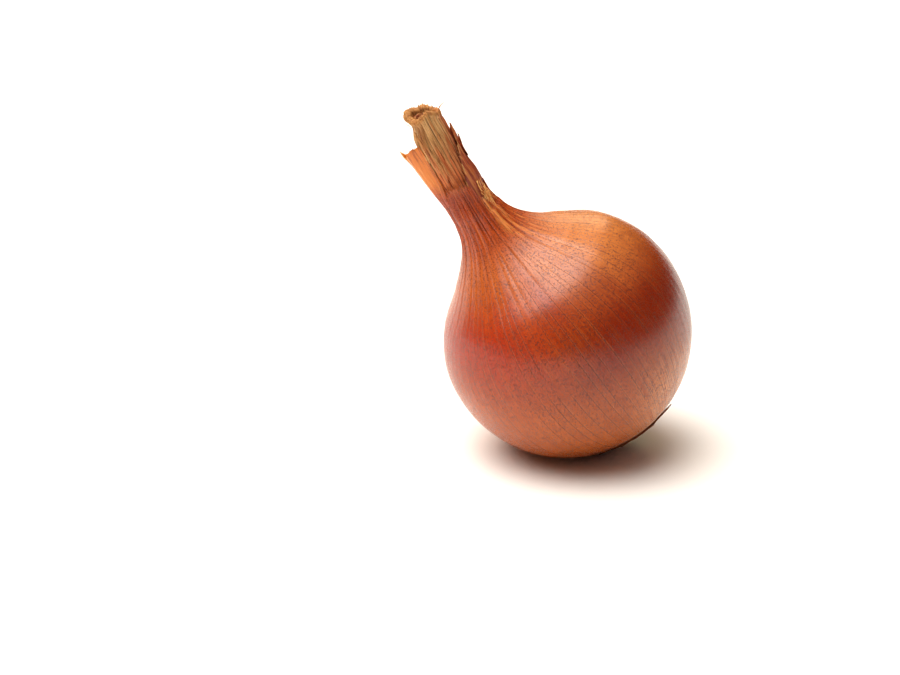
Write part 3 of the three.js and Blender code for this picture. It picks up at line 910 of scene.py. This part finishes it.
def neck_tints(skin, color, turns, place, fibre, crease, neck):
    """The collar's fibres and creases, the pale fan at its right front, and the tongue's straw colour."""
    color = skin.blend(skin.rise(fibre, 0.54, 0.66) * neck * 0.5, color, tone(214, 112, 44))
    color = skin.blend(skin.rise(fibre, 0.46, 0.36) * neck * 0.5, color, tone(104, 36, 12))
    color = skin.blend(crease * neck * 0.7, color, tone(84, 26, 6))
    fan = skin.rise(cosine_towards(skin, turns, KNOT_ANGLE), 0.84, 0.97) * skin.rise(place, 32, 42)
    color = skin.blend(fan * skin.rise(fibre, 0.5, 0.6) * 0.6, color, tone(232, 150, 76))
    flap = skin.rise(place, 57, 66)
    color = skin.blend(flap * 0.85, color, tone(226, 130, 50))
    color = skin.blend(skin.rise(fibre, 0.5, 0.38) * flap * 0.75, color, tone(160, 72, 24))
    return skin.blend(skin.rise(fibre, 0.54, 0.64) * flap * 0.6, color, tone(238, 170, 88))


def skin_finish():
    """Papery skin: its tints with painted light and shade, streaks, dark and pale veins, fine dark grain,
    and torn pale edges.
    """
    skin = Finish("papery_skin")
    spot, turns, place = skin.coordinates()
    torn = skin.attribute("torn")
    bent = turns + (skin.noise(skin.join(turns * 5, place * 0.03), 1.0) - 0.5) * 0.006
    streak = skin.noise(skin.join(bent * 420, place * 0.05), 1.0, 3.0, 0.6)
    broad = skin.noise(skin.join(bent * 26, place * 0.022), 1.0, 2.0)
    mottle = skin.noise(spot, 260.0, 3.0, 0.6)
    neck = skin.rise(place, 27, 46)
    color = skin_tints(skin, spot, place, broad, streak, neck)
    color = skin.blend(skin.rise(mottle, 0.42, 0.75) * 0.3, color, tone(124, 40, 14))
    color = skin.blend(skin.rise(streak, 0.45, 0.75) * 0.25, color, tone(196, 104, 42))
    vein_strength = skin.rise(skin.noise(skin.join(bent * 30, place * 0.04), 1.0), 0.25, 0.6)
    from_vein = cells_between(skin, bent, 74)
    vein = skin.rise(from_vein, 0.055, 0.005) * vein_strength
    fine_vein = skin.rise(cells_between(skin, bent, 210), 0.08, 0.01)
    beside = skin.rise(from_vein, 0.05, 0.08) * skin.rise(from_vein, 0.14, 0.09) * vein_strength
    color = skin.blend(beside * 0.12, color, tone(220, 140, 90))
    color = skin.blend(fine_vein * 0.2, color, tone(104, 38, 18))
    color = skin.blend(vein * 0.75 * (1 - neck), color, tone(70, 22, 8))
    dots = skin.rise(skin.noise(spot, 2200.0, 1.0), 0.48, 0.36)
    color = skin.blend(dots * 0.72, color, tone(80, 22, 6))
    fibre = skin.noise(skin.join(bent * 60, place * 0.05), 1.0, 4.0, 0.7)
    from_crease = cells_between(skin, bent + fibre * 0.006, 54)
    crease = skin.rise(from_crease, 0.2, 0.04) * skin.rise(fibre, 0.62, 0.42)
    color = neck_tints(skin, color, turns, place, fibre, crease, neck)
    color = skin.blend(skin.rise(torn, 0.3, 1.0) * 0.85, color, tone(226, 180, 112))
    roughness = 0.23 + dots * 0.14 + streak * 0.06 + neck * 0.06
    height = vein * -0.4 + fine_vein * -0.05 + streak * 0.1 + dots * -0.07 + mottle * 0.25
    normal = skin.bump(height + fibre * neck * 1.1, 0.6, 0.00016)
    return skin.dress(Base_Color=color, Roughness=roughness, Normal=normal, Specular_IOR_Level=0.44)


def straw_finish():
    """Dried leaf bases: straw-coloured above and redder below and at the right, with dark furrows."""
    dry = Finish("dried_fibres")
    spot, turns, place = dry.coordinates()
    torn = dry.attribute("torn")
    streak = dry.noise(dry.join(turns * 34, place * 0.06), 1.0, 3.0, 0.6)
    thread = dry.noise(dry.join(turns * 110, place * 0.07), 1.0, 2.0, 0.6)
    patch = dry.noise(spot, 190.0, 3.0)
    crumb = dry.noise(spot, 900.0, 2.0)
    right = dry.rise(cosine_towards(dry, turns, 356), 0.72, 0.93)
    color = dry.blend(dry.rise(streak, 0.34, 0.58), tone(170, 108, 58), tone(214, 164, 106))
    color = dry.blend(dry.rise(patch, 0.5, 0.7) * 0.35, color, tone(168, 126, 62))
    color = dry.blend(dry.rise(thread, 0.57, 0.68) * 0.6, color, tone(234, 190, 132))
    color = dry.blend(right * 0.7, color, tone(196, 84, 40))
    low = dry.rise(place + (streak - 0.5) * 26, 78, 60)
    color = dry.blend(low * 0.85, color, tone(196, 84, 32))
    furrows = dry.rise(cells_between(dry, turns + (streak - 0.5) * 0.03, 30), 0.17, 0.03)
    color = dry.blend(furrows * dry.rise(thread, 0.7, 0.4) * 0.9, color, tone(66, 28, 12))
    color = dry.blend(dry.rise(thread, 0.42, 0.32) * 0.6, color, tone(112, 50, 22))
    rim = dry.rise(torn, 0.3, 1.0)
    color = dry.blend(rim * 0.75, color, tone(184, 124, 62))
    color = dry.blend(rim * dry.rise(crumb, 0.5, 0.36) * 0.6, color, tone(140, 78, 34))
    inside = dry.rise(torn, 1.1, 1.8)
    color = dry.blend(inside * 0.85, color, tone(224, 128, 74))
    height = streak * 0.6 + thread + crumb * rim * 1.5 - furrows
    normal = dry.bump(height, 0.7, 0.0002)
    return dry.dress(Base_Color=color, Roughness=0.6 + thread * 0.2, Normal=normal, Specular_IOR_Level=0.35)


def fray_finish():
    """Pale golden fibres."""
    frayed = Finish("frayed_fibres")
    turns, place = frayed.coordinates()[1:]
    streak = frayed.noise(frayed.join(turns * 90, place * 0.2), 1.0, 2.0)
    color = frayed.blend(frayed.rise(streak, 0.4, 0.6), tone(214, 126, 56), tone(252, 198, 122))
    return frayed.dress(Base_Color=color, Roughness=0.6, Specular_IOR_Level=0.35)


def sheath_finish():
    """A dry brown leaf, streaked along its length and paler at its torn edge."""
    leaf = Finish("brown_dry_leaf")
    spot, turns, place = leaf.coordinates()
    torn = leaf.attribute("torn")
    streak = leaf.noise(leaf.join(turns * 50, place * 0.07), 1.0, 4.0, 0.65)
    patch = leaf.noise(spot, 240.0, 3.0)
    front = leaf.rise(turns, -0.06, -0.16)
    color = leaf.blend(leaf.rise(streak, 0.38, 0.62), tone(116, 40, 16), tone(182, 76, 34))
    color = leaf.blend(leaf.rise(patch, 0.5, 0.75) * 0.4, color, tone(152, 84, 38))
    color = leaf.blend(leaf.rise(streak, 0.6, 0.76) * 0.35, color, tone(190, 118, 66))
    color = leaf.blend(front * leaf.rise(streak, 0.44, 0.58) * 0.8, color, tone(176, 106, 56))
    edge = leaf.rise(torn, 0.4, 1.0) * leaf.rise(streak, 0.4, 0.6)
    color = leaf.blend(edge * 0.8, color, tone(204, 150, 88))
    normal = leaf.bump(streak, 0.7, 0.00025)
    return leaf.dress(Base_Color=color, Roughness=0.55, Normal=normal, Specular_IOR_Level=0.4)


def cork_finish():
    """Dry cork, browner towards the plate's edge."""
    cork = Finish("root_cork")
    spot = cork.coordinates()[0]
    torn = cork.attribute("torn")
    grain = cork.noise(spot, 1500.0, 3.0, 0.65)
    patch = cork.noise(spot, 420.0, 2.0)
    color = cork.blend(cork.rise(grain, 0.3, 0.7), tone(150, 126, 78), tone(214, 198, 148))
    color = cork.blend(cork.rise(patch, 0.5, 0.7) * 0.5, color, tone(176, 168, 108))
    color = cork.blend(cork.rise(torn, 0.85, 1.0) * 0.7, color, tone(112, 62, 36))
    normal = cork.bump(grain, 0.8, 0.0003)
    return cork.dress(Base_Color=color, Roughness=0.85, Normal=normal, Specular_IOR_Level=0.25)


def scrap_finish():
    """Older skin, darker at its torn edge."""
    scrap = Finish("torn_old_skin")
    turns, place = scrap.coordinates()[1:]
    torn = scrap.attribute("torn")
    streak = scrap.noise(scrap.join(turns * 160, place * 0.2), 1.0, 3.0, 0.6)
    color = scrap.blend(scrap.rise(streak, 0.3, 0.7), tone(150, 72, 38), tone(196, 116, 68))
    color = scrap.blend(scrap.rise(torn, 0.7, 1.0) * 0.45, color, tone(96, 46, 26))
    normal = scrap.bump(streak, 0.5, 0.0002)
    return scrap.dress(Base_Color=color, Roughness=0.5, Normal=normal, Specular_IOR_Level=0.4)


# The onion

skin = skin_finish()
straw_look = straw_finish()
sheath_look = sheath_finish()
cork_look = cork_finish()
scrap_look = scrap_finish()

finish_piece(make_bulb_skin(), skin, "skin", "bulb")
finish_piece(make_stalk(), straw_look, "stalk", "neck_stalk")
finish_piece(rolled_leaf("rolled_leaf_outer", 70, 1.15, 2.75, 1.9, 1.8, 73), sheath_look, "sheath")
finish_piece(rolled_leaf("rolled_leaf_inner", 250, 1.2, 1.5, 0.5, 2.6, 79), sheath_look, "sheath")
finish_piece(make_sheath(), sheath_look, "sheath", "neck_sheath")
finish_piece(make_neck_straws(), straw_look, "stalk")
finish_piece(make_collar_frays(), fray_finish(), "stalk")
finish_piece(make_shards(), sheath_look, "sheath")
finish_piece(make_rim_threads(), straw_look, "stalk")
finish_piece(make_root_pad(), cork_look, "cork", "root_pad")
for scrap_name, *scrap_sizes in SCRAPS:
    finish_piece(make_scrap(scrap_name, *scrap_sizes), scrap_look, "scrap", scrap_name)


# Floor, light and camera

PIXELS_WIDE = 900
PIXELS_HIGH = 675
BULB_PIXEL = (566, 332.6)
LENS = 85
SENSOR = 36
CAMERA_DISTANCE = 646
CAMERA_AZIMUTH = -10
CAMERA_ELEVATION = 20
FLOOR_WIDTH = 8
SKY_COLOR = (1, 0.97, 0.92, 1)
CEILING = {"From Min": 0.3, "From Max": 0.98, "To Min": 0.02, "To Max": 0.3}
WINDOW = {"From Min": 0.74, "From Max": 1.0, "To Min": 0.0, "To Max": 7.4}
WINDOW_DIRECTION = (-0.33, 0.05, 0.943)


def make_floor():
    deselect_all()
    bpy.ops.mesh.primitive_plane_add(size=FLOOR_WIDTH)
    floor = bpy.context.object
    floor.name = "floor"
    paper = Finish("pale_floor")
    paper.dress(Base_Color=tone(244, 241, 237), Roughness=0.9, Specular_IOR_Level=0.2)
    floor.data.materials.append(paper.material)


def soft_light(name, spot, size, power, color):
    """A square soft light that faces the onion."""
    lamp = bpy.data.lights.new(name, "AREA")
    lamp.shape = "SQUARE"
    lamp.size = size
    lamp.energy = power
    lamp.color = color
    holder = bpy.data.objects.new(name, lamp)
    bpy.context.scene.collection.objects.link(holder)
    holder.location = spot
    aim = Vector((0, 0, REST_HEIGHT * MM)) - Vector(spot)
    holder.rotation_euler = aim.to_track_quat("-Z", "Y").to_euler()


def make_light():
    """A dim ceiling with a broad bright glow in it, a little to the left, over a dark room."""
    world = bpy.data.worlds.new("studio")
    world.use_nodes = True
    tree = world.node_tree
    direction = tree.nodes.new("ShaderNodeTexCoord")
    total = tree.nodes.new("ShaderNodeMath")
    glows = [((0, 0, 1), CEILING), (WINDOW_DIRECTION, WINDOW)]
    for place, (aim, brightness) in enumerate(glows):
        faced = tree.nodes.new("ShaderNodeVectorMath")
        faced.operation = "DOT_PRODUCT"
        faced.inputs[1].default_value = aim
        glow = tree.nodes.new("ShaderNodeMapRange")
        glow.interpolation_type = "SMOOTHSTEP"
        for key, value in brightness.items():
            glow.inputs[key].default_value = value
        tree.links.new(direction.outputs["Generated"], faced.inputs[0])
        tree.links.new(faced.outputs["Value"], glow.inputs["Value"])
        tree.links.new(glow.outputs[0], total.inputs[place])
    tree.links.new(total.outputs[0], tree.nodes["Background"].inputs["Strength"])
    tree.nodes["Background"].inputs["Color"].default_value = SKY_COLOR
    bpy.context.scene.world = world
    soft_light("back", (0.45, 2.50, 1.60), 1.6, 20, (1, 0.82, 0.55))
    soft_light("left", (-2.40, -1.30, 1.20), 1.5, 5, (1, 0.5, 0.25))


def make_camera():
    azimuth = math.radians(CAMERA_AZIMUTH)
    elevation = math.radians(CAMERA_ELEVATION)
    right = Vector((math.cos(azimuth), math.sin(azimuth), 0))
    level = Vector((math.sin(azimuth), -math.cos(azimuth), 0))
    towards = level * math.cos(elevation) + Vector((0, 0, math.sin(elevation)))
    up = towards.cross(right)
    pixel = CAMERA_DISTANCE * SENSOR / LENS / PIXELS_WIDE
    sideways = (PIXELS_WIDE / 2 - BULB_PIXEL[0]) * pixel
    upwards = (BULB_PIXEL[1] - PIXELS_HIGH / 2) * pixel
    middle = Vector((0, 0, REST_HEIGHT))
    camera = bpy.data.cameras.new("camera")
    camera.lens = LENS
    camera.sensor_width = SENSOR
    camera.clip_start = 0.01
    holder = bpy.data.objects.new("camera", camera)
    holder.location = (middle + right * sideways + up * upwards + towards * CAMERA_DISTANCE) * MM
    holder.rotation_euler = (-towards).to_track_quat("-Z", "Y").to_euler()
    bpy.context.scene.collection.objects.link(holder)
    bpy.context.scene.camera = holder


make_floor()
make_light()
make_camera()
bpy.context.scene.view_settings.view_transform = "Standard"

bpy.context.view_layer.update()
